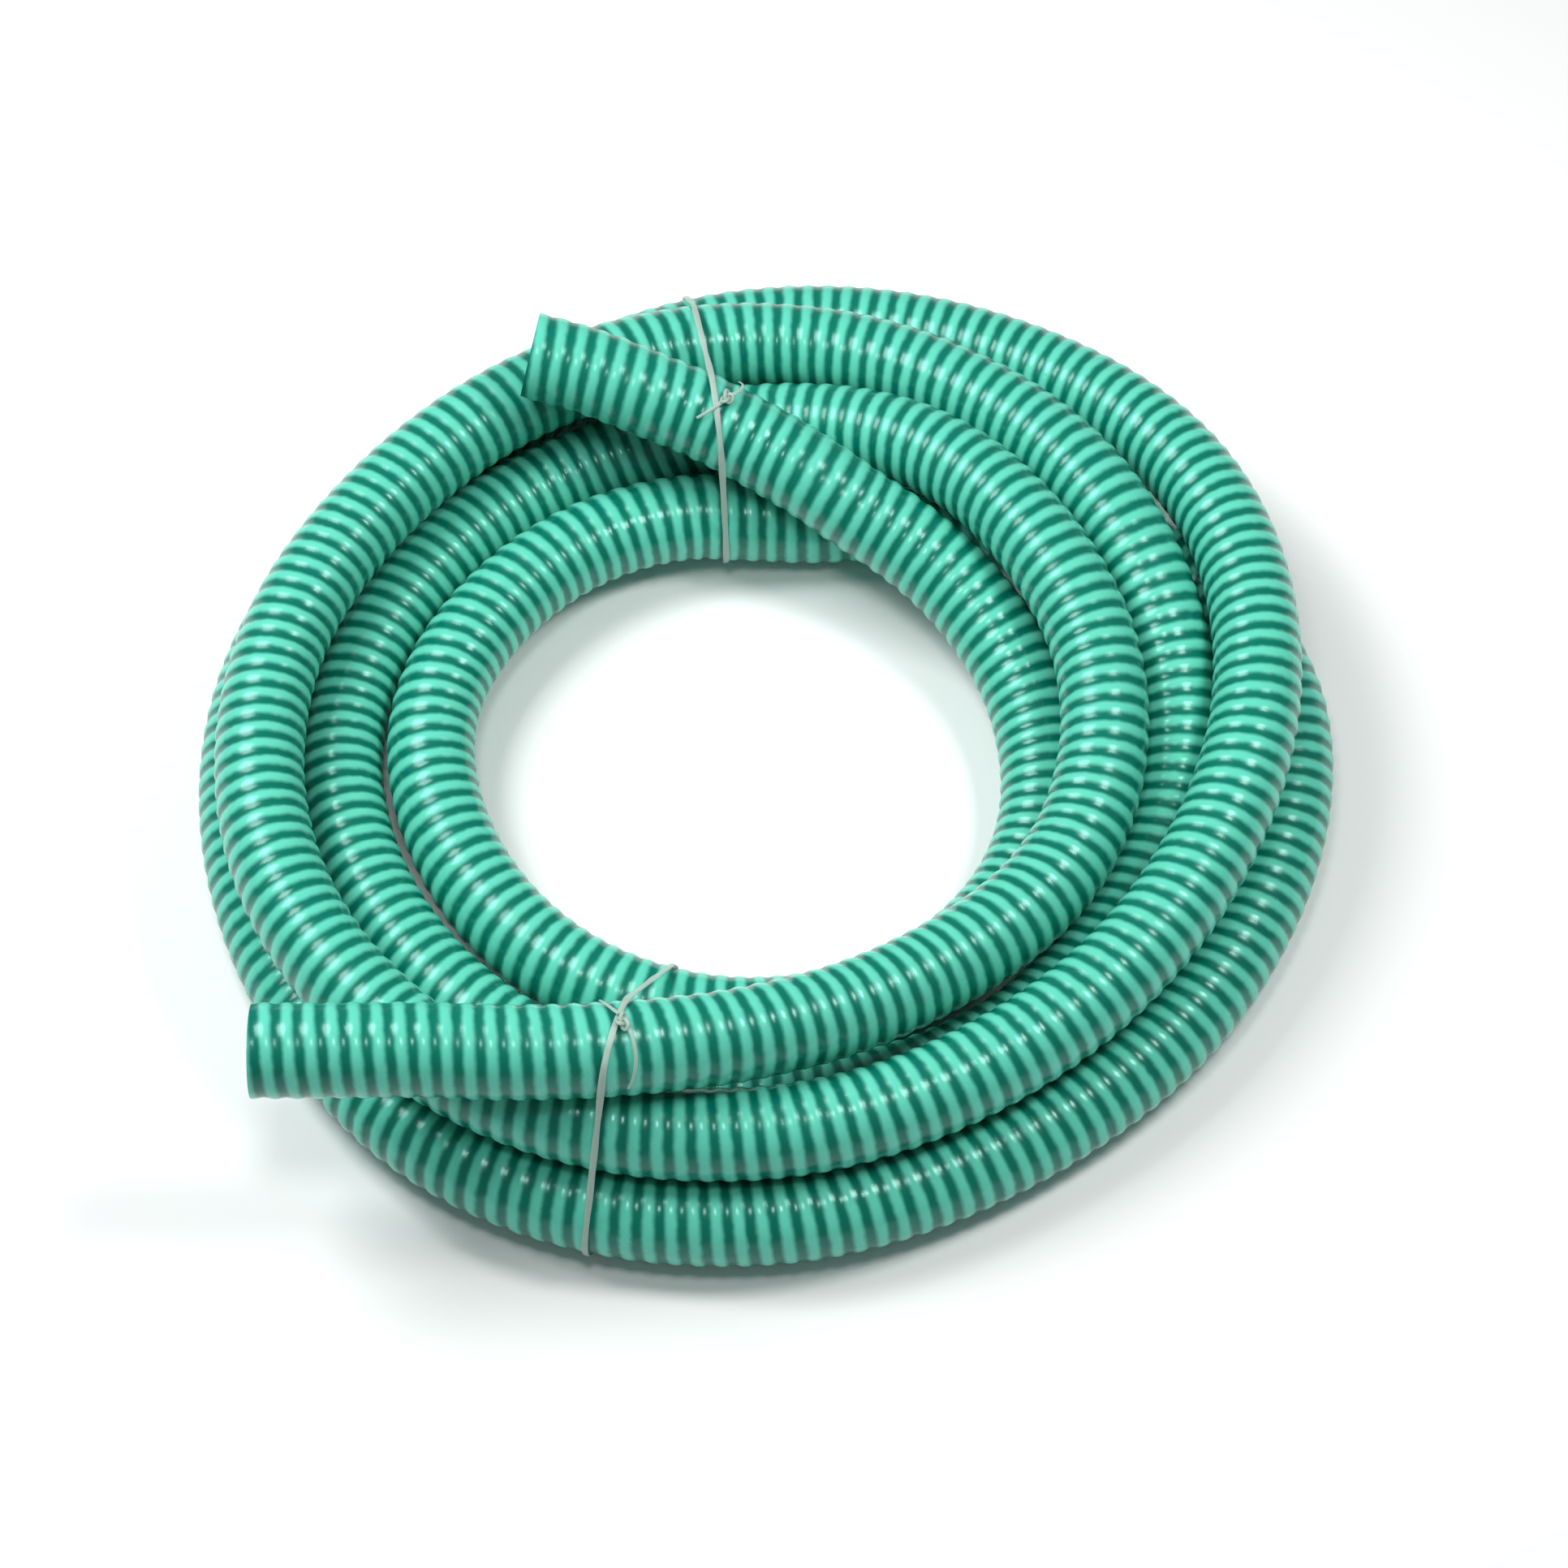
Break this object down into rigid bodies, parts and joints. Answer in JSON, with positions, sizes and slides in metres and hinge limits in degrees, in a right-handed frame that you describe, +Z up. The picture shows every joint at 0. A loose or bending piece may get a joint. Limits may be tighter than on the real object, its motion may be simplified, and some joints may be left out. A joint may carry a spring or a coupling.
{
  "type": "delivery hose",
  "caption": "Loosely coiled spiral-ribbed plastic hose with two plain-cut open ends, held together by thin straps.",
  "frame": {"origin": "on the floor under the middle of the coil's outline", "axes": "+Z up from the floor the coil lies on, +Y from the front of the coil, where the lower free end lies, to its back, +X to the right"},
  "size_m": [0.4892, 0.4963, 0.1182],
  "materials": {
    "hose": "glossy green, pale raised spiral on a darker web",
    "strap": "pale translucent strip"
  },
  "bodies": {
    "root": {"hose": "hose", "front_strap": "strap", "rear_strap": "strap"}
  },
  "joints": []
}
